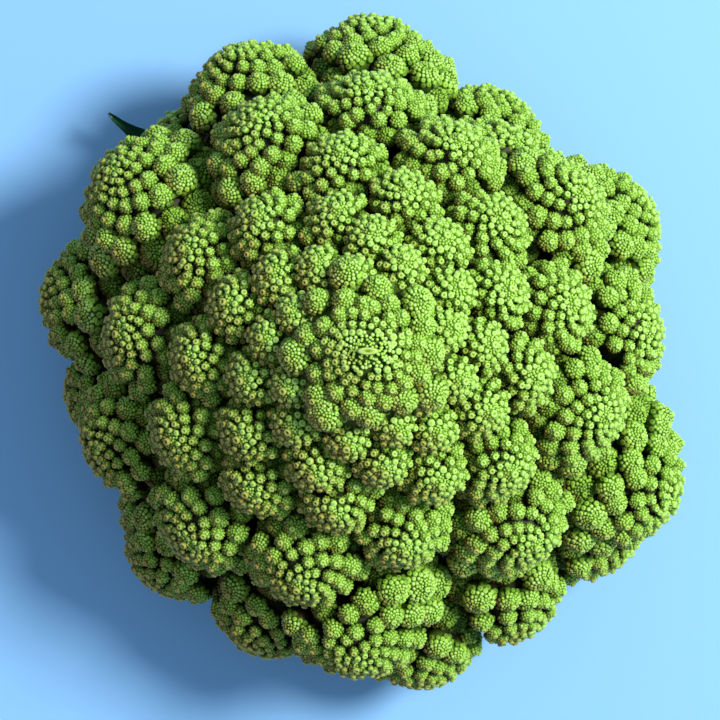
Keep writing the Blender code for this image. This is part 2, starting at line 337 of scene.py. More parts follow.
GRAIN = Stamp([(0.54, -0.30, 0.42), (0.0, 0.36, 1.0)], 5)
CAP = Stamp([(0.50, -0.30, 0.32), (0.41, 0.12, 0.8), (0.0, 0.32, 1.0)], 5)
KNOB = Stamp([(0.42, -0.50, 0.2), (0.50, 0.0, 0.6), (0.33, 0.34, 0.92), (0.0, 0.14, 0.5)], 7)
RING_SIDE = [(0.48, -0.50, 0.3), (0.50, 0.02, 0.7)]
RING_DIMPLE = [(0.37, 0.24, 0.92), (0.20, 0.15, 0.7), (0.0, -0.02, 0.25)]
HUSK_BACK = [(0.30, -0.50, 0.0), (0.44, -0.28, 0.02), (0.47, 0.0, 0.15)]
HUSK_FRONT = [(0.40, 0.25, 0.4), (0.24, 0.42, 0.45), (0.0, 0.50, 0.45)]
RING = Stamp(RING_SIDE + RING_DIMPLE, 9)
HUSK = Stamp(HUSK_BACK + HUSK_FRONT, 9, closed=True)
STAMPS = {"husk": HUSK, "ring": RING, "knob": KNOB, "cap": CAP, "grain": GRAIN}
for name, stamp in STAMPS.items():
    print(f"{name}: {len(stamp.faces)} triangles")


# %% [markdown]
# ## Growing one floret
#
# The floret's own skin is set with buds by the rule, and each bud wider than 1.9 mm is set with finer
# ones by the same rule. A little seeded unevenness in place, size and tilt keeps it from looking machined.
# Buds well behind the plane of a neighbour, and caps inside another bud, are never seen, so they are left
# out.

# %% Place the buds
FINEST_CAP = 0.74 * MM
SMALLEST_BUD = 1.25 * MM  # in the zone round a floret's tip
LARGEST_BUD = 8.6 * MM
BUD_FIRST, BUD_SHARE = 0.45 * MM, 0.34  # a bud's width at the tip, and what it gains with distance
CAP_SHARE = 0.30  # what the caps on one bud gain
CONE_FROM = 1.9 * MM  # narrower buds are single knobs
KNOB_FROM = 1.25 * MM  # narrower ones are caps
CAP_FROM = 0.86 * MM  # narrower ones are grains
RING_WIDTH = 1.5 * MM
TIP_RING_WIDTH = 1.9 * MM
TIP_ZONE = 2.7 * MM  # round the floret's tip, set with caps only
TIP_WIDTH = 2.3 * TIP_ZONE  # of the bud that ends a floret
BUD_EDGE, CAP_EDGE = math.radians(122), math.radians(88)  # from the axis, where the buds stop
# In a bud's own widths:
BURIED, HELD_BACK = 0.8, 0.42  # past a neighbour's plane it is left out; its middle stays short of it
BUD_SUNK, KNOB_RAISED = 0.23, 0.22  # its middle sinks below the skin; a single knob's comes back up
CAP_SUNK, RING_SUNK, HEART_SUNK = 0.14, 0.12, 0.62
BUD_FULLNESS, CAP_FULLNESS = 0.97, 0.98  # its size, for the room it has along the skin
INSIDE_BUD, INSIDE_FLORET = 0.46, 0.5  # a cap this near a bud's middle or this far past a plane is hidden
# Unevenness, each the spread of a seeded normal draw:
BUD_STEP_UNREST, BUD_TURN_UNREST, BUD_TILT_UNREST = 0.05, 0.11, 0.07
BUD_REACH_UNREST, BUD_SIZE_UNREST, BUD_TINT_UNREST = 0.010, 0.06, 0.05
CAP_TURN_UNREST, CAP_REACH_UNREST, CAP_TILT_UNREST = 0.16, 0.02, 0.10
CAP_SIZE_UNREST, CAP_TINT_UNREST = 0.08, 0.09
BUD_FORWARD, CAP_FORWARD = 0.30, 0.15  # added to the skin's normal, so that they lean toward the tip
# Painted shade: the caps low on a cone, where it meets the next one in a cleft, are darkened by CAP_SHADE.
CAP_SHADE, CAP_SHADE_ANGLES = 0.62, (math.radians(45), math.radians(90))  # low caps lie in a cleft
# The first two numbers paint shade: buds that point away from the lamp's side get browner. RING_BROWN and
# CAP_BROWN are the rings' and caps' own yellower tone.
PAINTED_SHADE_BROWNING, PAINTED_SHADE_FROM, RING_BROWN, CAP_BROWN = 0.95, 0.10, 0.25, 0.05
LAMP_SIDE = np.array([0.80, 0.45, 0.40])  # buds that point this way are green, and the others browner


def smooth_step(value, low, high):
    """0 below low, 1 above high and a smooth rise between."""
    share = np.clip((value - low) / (high - low), 0, 1)
    return share * share * (3 - 2 * share)


class Places:
    """Where stamps go: positions, frames, widths, tints and lightness (painted shade below 1), by kind of
    stamp.
    """

    def __init__(self):
        self.rows = {}

    def add(self, kind, positions, frames, widths, tints, light):
        row = [np.asarray(value, float) for value in (positions, frames, widths, tints, light)]
        self.rows.setdefault(kind, []).append(row)

    def of(self, kind):
        parts = self.rows.get(kind)
        return None if not parts else [np.concatenate(column) for column in zip(*parts)]

    def add_by_size(self, positions, frames, widths, tints, light):
        """Adds each bud as the stamp that suits its width."""
        kinds = np.array(["grain", "cap", "knob"])[(widths >= CAP_FROM) * 1 + (widths >= KNOB_FROM) * 1]
        for kind in ("grain", "cap", "knob"):
            chosen = kinds == kind
            if chosen.any():
                columns = (positions, frames, widths, tints, light)
                self.add(kind, *(column[chosen] for column in columns))


def tint_and_painted_shade(axes, base):
    """How brown buds are that point these ways: their own tint, browner away from the lamp as painted
    shade.
    """
    return base - PAINTED_SHADE_BROWNING * (axes @ LAMP_SIDE - PAINTED_SHADE_FROM)


def set_caps(places, middle, frame_of, width, tint, light, hand, rng, ring_width, hidden):
    """Covers one cone-shaped bud with a husk, its dimpled ring and caps or knobs round it."""
    start = 0.5 * ring_width + 0.42 * FINEST_CAP
    stop = BUD_SKIN.distance_at(CAP_EDGE) * width
    rows = spiral(start, stop, FINEST_CAP, 0.0, CAP_SHARE, width)
    here, up = middle[None], frame_of[None]
    own = tint_and_painted_shade(up[:, :, 2], tint)
    places.add("husk", here, up, [width], own, [light])
    top = middle + frame_of[:, 2] * (BUD_TIP * width - RING_SUNK * ring_width)
    places.add("ring", top[None], up, [ring_width], own + RING_BROWN, [light])
    if not len(rows):
        return
    distance, size = rows.T
    angle = BUD_SKIN.angle_at(distance / width)
    turn = hand * (GOLDEN * np.arange(len(rows)) + rng.uniform(0, math.tau))
    turn += rng.normal(0, CAP_TURN_UNREST, len(rows)) * size / np.maximum(distance, size)
    reach = BUD_SKIN.reach(angle) * width * rng.normal(1, CAP_REACH_UNREST, len(rows))
    outward, forward = BUD_SKIN.normal(angle)
    spread = np.stack([np.cos(turn), np.sin(turn)], axis=1)
    local = np.column_stack([spread * (reach * np.sin(angle))[:, None], reach * np.cos(angle)])
    axes = np.column_stack([spread * outward[:, None], forward + CAP_FORWARD])
    axes += rng.normal(0, CAP_TILT_UNREST, axes.shape)
    axes /= np.linalg.norm(axes, axis=1, keepdims=True)
    axes_out = axes @ frame_of.T
    positions = middle + (local - axes * CAP_SUNK * size[:, None]) @ frame_of.T
    kept = ~hidden(positions, size)
    if not kept.any():
        return
    frames = frames_along(axes_out, rng.uniform(0, math.tau, len(rows)))
    size = size * rng.normal(CAP_FULLNESS, CAP_SIZE_UNREST, len(rows))
    tints = tint_and_painted_shade(axes_out, tint + CAP_BROWN) + rng.normal(0, CAP_TINT_UNREST, len(rows))
    # painted shade on the low caps, in the cone's cleft
    lights = light * (1 - CAP_SHADE * smooth_step(angle, *CAP_SHADE_ANGLES))
    places.add_by_size(positions[kept], frames[kept], size[kept], tints[kept], lights[kept])


def set_buds(places, floret, skin, room, tint, rng):
    """Covers a floret with buds, pressed back where its neighbours are."""
    normals, distances = room
    hand = rng.choice([-1, 1])
    stop = skin.distance_at(BUD_EDGE)
    rows = spiral(TIP_ZONE, stop, SMALLEST_BUD, BUD_FIRST, BUD_SHARE, LARGEST_BUD)
    distance, size = rows.T
    distance = distance + rng.normal(0, BUD_STEP_UNREST, len(rows)) * size
    base = frames_along(floret.axis[None], np.array([rng.uniform(0, math.tau)]))[0]
    angle = skin.angle_at(distance)
    turn = hand * GOLDEN * np.arange(len(rows))
    turn = turn + rng.normal(0, BUD_TURN_UNREST, len(rows)) * size / distance
    direction = directions(angle, turn)
    outward, forward = skin.normal(angle)
    axes = np.column_stack([np.cos(turn) * outward, np.sin(turn) * outward, forward + BUD_FORWARD])
    direction, axes = direction @ base.T, axes @ base.T
    axes += rng.normal(0, BUD_TILT_UNREST, axes.shape)
    axes /= np.linalg.norm(axes, axis=1, keepdims=True)
    free = skin.reach(angle)
    facing = np.maximum(direction @ normals.T, 1e-6)
    held = np.min((distances - HELD_BACK * size[:, None]) / facing, axis=1)
    seen = free - held < BURIED * size
    reach = np.minimum(free, held) * rng.normal(1, BUD_REACH_UNREST, len(rows))
    spread = size * rng.normal(BUD_FULLNESS, BUD_SIZE_UNREST, len(rows))
    middles = floret.middle + direction * reach[:, None] - axes * BUD_SUNK * size[:, None]
    tints = tint + rng.normal(0, BUD_TINT_UNREST, len(rows))
    # Painted shade: buds pressed back behind a neighbour, in the clefts, and buds toward the floret's back
    # are darker.
    light = 1 - 0.5 * smooth_step(free - held, 0.0, 0.8 * size) - 0.3 * smooth_step(angle, 1.3, 2.1)
    frames = frames_along(axes, rng.uniform(0, math.tau, len(rows)))
    single = seen & (size < CONE_FROM)
    places.add_by_size(
        (middles + axes * KNOB_RAISED * size[:, None])[single],
        frames[single], spread[single], tint_and_painted_shade(axes[single], tints[single]), light[single],
    )

    def hidden(positions, widths):
        """Which of these lie inside another bud or well inside a neighbouring floret."""
        gaps = np.linalg.norm(positions[:, None] - middles[None, cones], axis=2)
        inside = (gaps + 0.25 * widths[:, None] < INSIDE_BUD * spread[None, cones]).any(axis=1)
        beyond = ((positions - floret.middle) @ normals.T - distances).max(axis=1)
        return inside | (beyond > INSIDE_FLORET * widths)

    cones = np.flatnonzero(seen & (size >= CONE_FROM))
    for number in cones:
        set_caps(
            places, middles[number], frames[number], spread[number], tints[number], light[number],
            hand, rng, min(RING_WIDTH, 0.75 * spread[number]), hidden,
        )
    tip_middle = floret.middle + floret.axis * (skin.reach(0.0) - BUD_TIP * TIP_WIDTH)
    set_caps(places, tip_middle, base, TIP_WIDTH, tint, 1.0, hand, rng, TIP_RING_WIDTH, hidden)


print("buds", SMALLEST_BUD / MM, "to", LARGEST_BUD / MM, "mm wide, caps from", FINEST_CAP / MM, "mm")

# %% [markdown]
# ## The heart, and one mesh for each floret
#
# Under its buds a floret is solid flesh that narrows to a short stem. A ball of rings gives that, with the
# same free shape and planes, sunk far enough that the buds cover it. Stamps and heart are then joined in
# one mesh. Separate objects for the buds would be far slower, and a real floret is one piece too.

# %% The solid heart under the buds
HEART_SIDES, HEART_RINGS = 36, 22
STEM_FROM, STEM_FADE = math.radians(112), math.radians(14)  # where the buds give way to bare stem


def heart_of(floret, skin, room):
    """The floret's flesh and stem: the same skin, sunk below the buds, as (points, faces, openness)."""
    normals, distances = room
    base = frames_along(floret.axis[None], np.zeros(1))[0]
    angle = np.linspace(0, math.pi, HEART_RINGS + 1)[1:-1]
    turn = np.arange(HEART_SIDES) * math.tau / HEART_SIDES
    angle, turn = (grid.ravel() for grid in np.meshgrid(angle, turn, indexing="ij"))
    angle = np.concatenate([[0], angle, [math.pi]])
    turn = np.concatenate([[0], turn, [0]])
    direction = directions(angle, turn) @ base.T
    bud = np.clip(BUD_FIRST + BUD_SHARE * skin.distance_at(angle), SMALLEST_BUD, LARGEST_BUD)
    stem = np.clip((angle - STEM_FROM) / STEM_FADE, 0, 1)
    sunk = HEART_SUNK * bud * (1 - stem) + 0.15 * MM
    facing = np.maximum(direction @ normals.T, 1e-6)
    reach = np.minimum(skin.reach(angle) - sunk, np.min((distances - sunk[:, None]) / facing, axis=1))
    points = floret.middle + direction * reach[:, None]
    return points, sphere_faces(HEART_SIDES, HEART_RINGS), stem


def sphere_faces(sides, rings):
    """Triangles over a ball of points: the front pole, rings - 1 circles of points, the back pole."""
    last = 1 + sides * (rings - 1)
    faces = []
    for side in range(sides):
        after = (side + 1) % sides
        faces.append((0, 1 + side, 1 + after))
        faces.append((last, last - sides + after, last - sides + side))
        for ring in range(rings - 2):
            low, high = 1 + ring * sides, 1 + (ring + 1) * sides
            faces += [(low + side, high + side, high + after), (low + side, high + after, low + after)]
    return np.array(faces)


print("triangles in a heart:", len(sphere_faces(HEART_SIDES, HEART_RINGS)))


# %% Join stamps and heart into one mesh
def stamped(stamp, rows):
    """Copies of a stamp at all these places: points, faces, openness and tint of each point."""
    positions, frames, widths, tints, light = rows
    points = np.einsum("nij,kj->nki", frames * widths[:, None, None], stamp.points)
    points = points + positions[:, None]
    faces = stamp.faces[None] + (np.arange(len(widths)) * len(stamp.points))[:, None, None]
    # The bud's painted shade darkens every point of its stamp.
    openness = stamp.openness[None] * light[:, None]
    tint = np.broadcast_to(tints[:, None], points.shape[:2])
    return points.reshape(-1, 3), faces.reshape(-1, 3), openness.ravel(), tint.ravel()


counts = {}  # how many of each stamp have been placed


def stamped_all(places):
    """Every stamp of these places, as parts of a mesh."""
    parts = []
    for kind, stamp in STAMPS.items():
        rows = places.of(kind)
        if rows is not None:
            parts.append(stamped(stamp, rows))
            counts[kind] = counts.get(kind, 0) + len(rows[2])
    return parts


def make_piece(name, parts, material):
    """One mesh object from several (points, faces, openness, tint).

    The two numbers that its colours read are kept as the attribute growth, and again as its flat map, so
    that a baked picture of the colours needs only one small square of all their mixtures.
    """
    starts = np.cumsum([0] + [len(part[0]) for part in parts[:-1]])
    points = np.concatenate([part[0] for part in parts])
    faces = np.concatenate([part[1] + start for part, start in zip(parts, starts)])
    openness = np.clip(np.concatenate([part[2] for part in parts]), 0, 1)
    tint = np.clip(np.concatenate([part[3] for part in parts]), 0, 1)
    mesh = bpy.data.meshes.new(name)
    mesh.vertices.add(len(points))
    mesh.loops.add(faces.size)
    mesh.polygons.add(len(faces))
    mesh.vertices.foreach_set("co", points.astype(np.float32).ravel())
    mesh.polygons.foreach_set("loop_start", np.arange(len(faces), dtype=np.int32) * 3)
    mesh.loops.foreach_set("vertex_index", faces.astype(np.int32).ravel())
    mesh.update(calc_edges=True)
    mesh.shade_smooth()
    # The first number is the painted shade of clefts and bud feet on curd (the cut face on stem and ribs);
    # the second is the tint: own brown patches plus painted shade on the side away from the lamp.
    tone_and_painted_shade = mesh.attributes.new("tone_and_painted_shade", "FLOAT_VECTOR", "POINT")
    numbers = np.column_stack([openness, tint, tint]).astype(np.float32)
    tone_and_painted_shade.data.foreach_set("vector", numbers.ravel())
    colour_map = mesh.uv_layers.new(name="OFBake")
    jitter = 0.004 * ((np.arange(len(points)) % 3) - 1)  # gives each triangle some width on the map
    flat = 0.02 + 0.96 * np.column_stack([openness, tint + jitter])
    colour_map.data.foreach_set("uv", flat[faces.ravel()].astype(np.float32).ravel())
    mesh.materials.append(material)
    piece = bpy.data.objects.new(name, mesh)
    bpy.context.scene.collection.objects.link(piece)
    return piece


one = (np.zeros((1, 3)), np.eye(3)[None], np.ones(1), np.zeros(1), np.ones(1))
print("points in one placed ring:", len(stamped(RING, one)[0]))

# %% [markdown]
# ## Curd
#
# Romanesco curd is fresh plant tissue packed with chlorophyll, under a thin dull wax. It is matt with a
# faint sheen. Its colour carries painted shade: palest on the tips of its buds and darkest in the clefts.
# This head is also browner on one side than on the other, partly in brown patches of its own and partly
# as painted shade on the side away from the lamp. One flat green would lose all of that, and a painted
# picture would fit one head only. The colour therefore follows how open each spot lies, along one ramp for
# green tissue and one for the browner kind, and a tint stored with every bud chooses between the two.

# %% Material helpers
def linear(hex_colour):
    """An sRGB hex colour as linear red, green, blue and alpha."""
    parts = [int(hex_colour[i : i + 2], 16) / 255 for i in (1, 3, 5)]
    return (*[v / 12.92 if v <= 0.04045 else ((v + 0.055) / 1.055) ** 2.4 for v in parts], 1.0)


def add_node(tree, kind, settings=None, links=None):
    """Adds a node, sets its properties and sockets, and links (node, output) into its inputs."""
    node = tree.nodes.new(kind)
    for name, value in (settings or {}).items():
        if name in node.inputs.keys() or isinstance(name, int):
            node.inputs[name].default_value = value
        else:
            setattr(node, name, value)
    for name, (source, output) in (links or {}).items():
        tree.links.new(source.outputs[output], node.inputs[name])
    return node


def set_ramp(node, stops):
    """Gives a colour ramp its stops, as (place, hex colour)."""
    ramp = node.color_ramp
    while len(ramp.elements) < len(stops):
        ramp.elements.new(0.5)
    for element, (place, colour) in zip(ramp.elements, stops):
        element.position, element.color = place, linear(colour)


def new_material(name):
    """A material with an empty node tree and its output node."""
    material = bpy.data.materials.new(name)
    material.use_nodes = True
    material.node_tree.nodes.clear()
    return material, add_node(material.node_tree, "ShaderNodeOutputMaterial")


print("the hex grey #808080 is", round(linear("#808080")[0], 3), "in linear light")


# %% Curd, as a material
def curd_material():
    """Fresh romanesco curd: dull waxy green, browner where the tint says so, darker as painted shade in
    clefts.
    """
    material, output = new_material("romanesco_curd")
    tree = material.node_tree
    tone_and_painted_shade = add_node(tree, "ShaderNodeAttribute", {"attribute_name": "tone_and_painted_shade"})
    parts = add_node(tree, "ShaderNodeSeparateXYZ", links={0: (tone_and_painted_shade, "Vector")})
    green = add_node(tree, "ShaderNodeValToRGB", links={0: (parts, "X")})
    # Both ramps go from painted shade deep in a cleft (0) to the curd's own colour on an open tip (1).
    set_ramp(green, [(0.0, "#142003"), (0.35, "#4C751B"), (0.70, "#8ABE42"), (1.0, "#AED08C")])
    brown = add_node(tree, "ShaderNodeValToRGB", links={0: (parts, "X")})
    set_ramp(brown, [(0.0, "#170E04"), (0.35, "#4C3C14"), (0.70, "#80742E"), (1.0, "#B4B468")])
    ramps = {0: (parts, "Y"), 6: (green, 0), 7: (brown, 0)}  # 6 and 7 are the two colours to mix
    colour = add_node(tree, "ShaderNodeMix", {"data_type": "RGBA"}, ramps)
    dull_wax = {"Roughness": 0.55, "IOR": 1.45, "Metallic": 0.0, "Specular IOR Level": 0.3}
    shader = add_node(tree, "ShaderNodeBsdfPrincipled", dull_wax, {"Base Color": (colour, 2)})
    tree.links.new(shader.outputs[0], output.inputs[0])
    return material


curd = curd_material()
print("material:", curd.name)

# %% Grow the florets
PATCH_SIZE = 22 * MM  # of the patches that are a little browner than the rest
LEAST_TINT, CROWN_LEAST_TINT, TINT_RANGE = 0.02, 0.05, 0.4
# A floret's length behind its middle, for its middle's distance from the axis. Planes cut it off sooner.
STEM_REACH, CROWN_STEM_REACH = 1.6, 2.0
STEM_OPENNESS = 0.6


def patchiness(point):
    """A smooth value from 0 to 1 at this point, from a few waves."""
    rng = np.random.default_rng(3)
    waves = 5
    total = 0
    for _ in range(waves):
        wave = rng.normal(0, 1, 3)
        total += math.sin(point @ wave / PATCH_SIZE + rng.uniform(0, math.tau))
    return 0.5 + 0.5 * total / waves


def grow(floret, rng):
    """All the parts of one floret's mesh."""
    to_axis = math.hypot(floret.middle[0], floret.middle[1])
    stem = to_axis * (STEM_REACH if floret.number >= FIRST_FLORET else CROWN_STEM_REACH)
    tip, side = TIP_SHARE * floret.width, SIDE_SHARE * floret.width
    skin = Skin(tip, side, stem, TIP_SQUARENESS, STEM_SQUARENESS)
    room = room_of(floret)
    tint = LEAST_TINT + TINT_RANGE * patchiness(floret.middle)
    places = Places()
    set_buds(places, floret, skin, room, tint, rng)
    points, faces, stem_share = heart_of(floret, skin, room)
    # Under the buds the heart gets openness 0, the darkest painted shade, as it shows only in the clefts.
    parts = [(points, faces, STEM_OPENNESS * stem_share, np.full(len(points), tint))]
    return parts + stamped_all(places)


total = 0
for floret in florets:
    if floret.number < FIRST_FLORET:
        continue
    parts = grow(floret, np.random.default_rng(1000 + floret.number))
    piece = make_piece("curd_" + floret.name, parts, curd)
    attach(piece, BODY)
    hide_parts(floret.name)
    total += len(piece.data.polygons)
print("stamps:", counts, "triangles:", total)

# %% [markdown]
# ## The crown
#
# At the top the head is still growing, and its youngest florets are fused to the stalk. They follow the
# same spiral inward, each a little smaller for its place than further out. The growing tip of this head
# has widened into a short ridge, so the buds beside it are pushed apart along that ridge. The crown is
# one mesh, as nothing in it comes apart by hand.

# %% Grow the crown
CREST = (4.7 * MM, 1.6 * MM)  # the growing tip is a short ridge, not a point
CREST_SPREAD = 1.6 * MM  # how far the ridge pushes the buds beside it along its length
CREST_CALM = (3 * MM, 14 * MM)  # from the axis, where that push fades and ends
CREST_GRAIN = 0.70 * MM
CROWN_ZONE = 4.4 * MM  # round the growing tip, set with caps only
CROWN_START = FIRST_IN_CROWN + 2  # the crown's own buds go inward from here, between its last florets
CROWN_HEART = 20 * MM  # radius of the flesh under the crown
CROWN_HEART_SIDES, CROWN_HEART_RINGS = 40, 14


def crown_share(radius):
    """A young floret's width for its distance from the axis: a little less toward the tip."""
    return 0.33 + 0.10 * smooth_step(radius, 6 * MM, 17 * MM)


def on_crown(turn, radius):
    """The point and the axis of a bud on the crown."""
    reach = radius / RIM_RADIUS
    tilt = dome_tilt(reach)
    return spoke(turn, radius, dome_height(reach)), spoke(turn, math.sin(tilt), math.cos(tilt))


def crown_rows(rng):
    """Turn, radius and width of each bud, inward from the first whole floret."""
    rows, number = [], CROWN_START
    radius = math.hypot(*Floret(number).tip[:2])
    while radius > 0.9 * MM:
        turn = SPIRAL_START + SPIRAL_TURN * number + SPIRAL_DRIFT * number**2
        width = max(crown_share(radius) * radius, CREST_GRAIN)
        if radius < CROWN_ZONE:
            width = max(0.72 * width, CREST_GRAIN)
        unrest = 0.12 + 0.16 * (radius < CROWN_ZONE)
        rows.append((turn + rng.normal(0, unrest) * width / radius, radius, width))
        radius = math.sqrt(max(radius**2 - HEXAGON * width**2 / math.pi * CROWN_SLOPE, 0))
        number -= 1
    return rows


def crown_heart():
    """The flesh under the crown's buds, as a part of a mesh."""
    turn = np.arange(CROWN_HEART_SIDES) * math.tau / CROWN_HEART_SIDES
    points = [[0, 0, dome_height(0) - 0.8 * MM]]
    for radius in np.linspace(0, 1, CROWN_HEART_RINGS)[1:] * CROWN_HEART:
        sunk = 0.35 * MM + 0.55 * crown_share(radius) * radius
        points += [spoke(angle, radius, dome_height(radius / RIM_RADIUS) - sunk) for angle in turn]
    points.append([0, 0, dome_height(0) - 30 * MM])
    faces = sphere_faces(CROWN_HEART_SIDES, CROWN_HEART_RINGS)
    # The flesh under the crown's buds is dark, as painted shade between them.
    return np.array(points), faces, np.full(len(points), 0.12), np.full(len(points), 0.2)


def set_crown_buds(places, rng):
    """Sets the crown's own buds along the spiral, inward to the ridge."""
    rows = crown_rows(rng)
    cones = [(on_crown(turn, radius), width) for turn, radius, width in rows if width >= CONE_FROM]
    centres = np.array([point - axis * 0.45 * width for (point, axis), width in cones])
    widths_of = np.array([width for _, width in cones])

    def hidden(positions, widths):
        gaps = np.linalg.norm(positions[:, None] - centres[None], axis=2)
        return (gaps + 0.25 * widths[:, None] < 0.42 * widths_of[None]).any(axis=1)

    for turn, radius, width in rows:
        unrest = 0.07 + 0.10 * (radius < CROWN_ZONE)
        point, axis = on_crown(turn, radius + unrest * width * rng.normal())
        point[0] += CREST_SPREAD * math.cos(turn) * (1 - smooth_step(radius, *CREST_CALM))
        axis = axis + rng.normal(0, 0.06, 3)
        axis /= np.linalg.norm(axis)
        frame_of = frames_along(axis[None], rng.uniform(0, math.tau, 1))[0]
        tint = CROWN_LEAST_TINT + TINT_RANGE * patchiness(point)
        spread = (1.02 + 0.08 * (radius < CROWN_ZONE)) * width * rng.normal(1, 0.06)
        if width < CONE_FROM:
            places.add_by_size(
                (point - axis * 0.15 * width)[None], frame_of[None], np.array([spread]),
                tint_and_painted_shade(axis[None], tint), np.ones(1),
            )
        else:
            middle, ring_width = point - axis * 0.36 * width, min(RING_WIDTH, 0.7 * spread)
            set_caps(places, middle, frame_of, spread, tint, 1.0, 1, rng, ring_width, hidden)
    length, width = CREST
    ridge_frame = np.diag([length, width, width]) / width
    ridge_top = on_crown(0.0, 0.0)[0] - [0, 0, 0.1 * width]
    places.add("ring", ridge_top[None], ridge_frame[None], [width * 1.1], [0.3], [1.0])


def crown_parts(rng):
    """The growing tip and the youngest florets, still fused to the stalk."""
    parts = []
    for floret in florets:
        if floret.number < FIRST_FLORET:
            parts += grow(floret, rng)
    places = Places()
    set_crown_buds(places, rng)
    return parts + [crown_heart()] + stamped_all(places)


crown = make_piece("crown", crown_parts(np.random.default_rng(7)), curd)
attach(crown, BODY)
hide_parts("stalk")
print("crown triangles:", len(crown.data.polygons), "all:", total + len(crown.data.polygons))

# %% [markdown]
# ## Stem, leaf and cut ribs
#
# Under the curd is a stout pale stem, cut square when the head is picked. The leaves that wrapped the head
# grew from it. Most were trimmed off, which leaves the thick feet of their ribs, and one thin leaf is still
# there with its tip curled up. All of these are smooth fleshy tissue, so each is one lofted skin.

# %% Loft a skin through rings
def loft(rings):
    """A closed skin through rings of points, each end closed by a fan: points, faces."""
    rings = np.asarray(rings)
    count, sides = rings.shape[:2]
    points = np.concatenate([rings.reshape(-1, 3), rings[:1].mean(axis=1), rings[-1:].mean(axis=1)])
    faces = []
    for side in range(sides):
        after = (side + 1) % sides
        for ring in range(count - 1):
            low, high = ring * sides, (ring + 1) * sides
            faces += [(low + side, low + after, high + after), (low + side, high + after, high + side)]
        faces.append((after, side, count * sides))
        faces.append(((count - 1) * sides + side, (count - 1) * sides + after, count * sides + 1))
    return points, np.array(faces)


print("triangles in a loft of 2 rings of 6 points:", len(loft(np.zeros((2, 6, 3)))[1]))

# %% Stem
STEM_SIDES = 72
STEM_BEVEL = 1.5 * MM
SCARS, FIRST_SCAR, SCAR_STEP = 7, 6.0 * MM, 2.2 * MM  # heights of the trimmed leaves' scars
SCAR_HALF_HEIGHT, SCAR_HALF_TURN = 1.6 * MM, 0.55


def stem_parts():
    """The stem from its cut face to just under the crown, with the scars of the trimmed leaves."""
    side = np.linspace(4 * MM, neck_height() - 6 * MM, 26)
    heights = np.concatenate([[0, 0, 0.4 * MM, STEM_BEVEL], side])
    levels = [0, STEM_BEVEL, CORE_FOOT, neck_height()]
    radii = np.interp(heights, levels, [CUT_RADIUS - STEM_BEVEL, CUT_RADIUS, CUT_RADIUS, NECK_RADIUS])
    radii[0] *= 0.55  # a ring inside the cut face
    radii[-len(side):] -= 0.5 * MM
    turn = np.arange(STEM_SIDES) * math.tau / STEM_SIDES
    rings = []
    for height, radius in zip(heights, radii):
        ribs = 0.25 * MM * np.cos(9 * turn + 2.0) + 0.15 * MM * np.cos(23 * turn + height / MM)
        ribs = ribs * (height > 1 * MM) - 0.3 * MM
        scar = np.zeros_like(turn)
        for number in range(SCARS):
            round_by = np.angle(np.exp(1j * (turn - number * GOLDEN))) / SCAR_HALF_TURN
            up_by = (height - FIRST_SCAR - SCAR_STEP * number) / SCAR_HALF_HEIGHT
            scar = np.maximum(scar, np.exp(-(round_by**4) - up_by**2))
        grown = radius + ribs + 0.4 * MM * scar * (height > 2 * MM)
        level = np.full(STEM_SIDES, height)
        rings.append(np.column_stack([grown * np.cos(turn), grown * np.sin(turn), level]))
    points, faces = loft(rings)
    on_cut = points[:, 2] < 0.3 * MM
    return [(points, faces, np.where(on_cut, 1.0, 0.55), np.full(len(points), 0.3))]


print(f"stem: {2 * CUT_RADIUS / MM:.0f} mm across the cut, {2 * NECK_RADIUS / MM:.0f} mm at the neck")

# %% Leaf
LEAF_ROOT, LEAF_TIP = (20.6 * MM, 7.5 * MM), (90.0 * MM, 16.5 * MM)  # distance from the axis, and height
LEAF_SAG, LEAF_CURL = 4 * MM, 5  # the higher the curl, the later the leaf lifts
STALK_HALF_WIDTH, BLADE_HALF_WIDTH = 2.8 * MM, 4.0 * MM
LEAF_ROWS, LEAF_COLUMNS = 40, 11


def leaf_ring(share):
    """One cross-section of the leaf, share running from 0 at the stalk to 1 at the tip."""
    out = LEAF_ROOT[0] + (LEAF_TIP[0] - LEAF_ROOT[0]) * share
    height = LEAF_ROOT[1] + (LEAF_TIP[1] - LEAF_ROOT[1]) * share**LEAF_CURL
    height -= LEAF_SAG * math.sin(math.pi * share)
    blade = math.sin(math.pi * min(max((share - 0.12) / 0.88, 0), 1)) ** 0.8
    half = STALK_HALF_WIDTH + BLADE_HALF_WIDTH * blade
    half *= (1 - 0.55 * smooth_step(share, 0.72, 1.0)) * (1 - 0.5 * smooth_step(share, 0.97, 1.0))
    swing = 3.5 * MM * smooth_step(share, 0.7, 1.0)
    roll = 0.5 + 1.4 * smooth_step(share, 0.6, 1.0)  # radians from the midrib to each edge
    thick = 0.8 * MM + 0.6 * MM * (1 - share)
    across = np.linspace(-1, 1, LEAF_COLUMNS)
    crinkle = 0.4 * MM * np.cos(across * 19 + share * 14) * abs(across)
    bend = half * (1 - np.cos(across * roll)) / roll * 1.2 + crinkle
    side = half * np.sin(across * roll) / roll + swing
    midrib = 0.6 * MM * np.exp(-((across / 0.14) ** 2)) * (1 - share)
    along = np.full(LEAF_COLUMNS, out)
    upper = np.column_stack([along, side, height + bend + thick / 2])
    lower = np.column_stack([along, side, height + bend - thick / 2 - midrib])[::-1]
    return np.concatenate([upper, lower])


def turned(ring, turn):
    """These points, turned round the head's axis."""
    cos, sin = math.cos(turn), math.sin(turn)
    out, side, height = ring.T
    return np.column_stack([out * cos - side * sin, out * sin + side * cos, height])


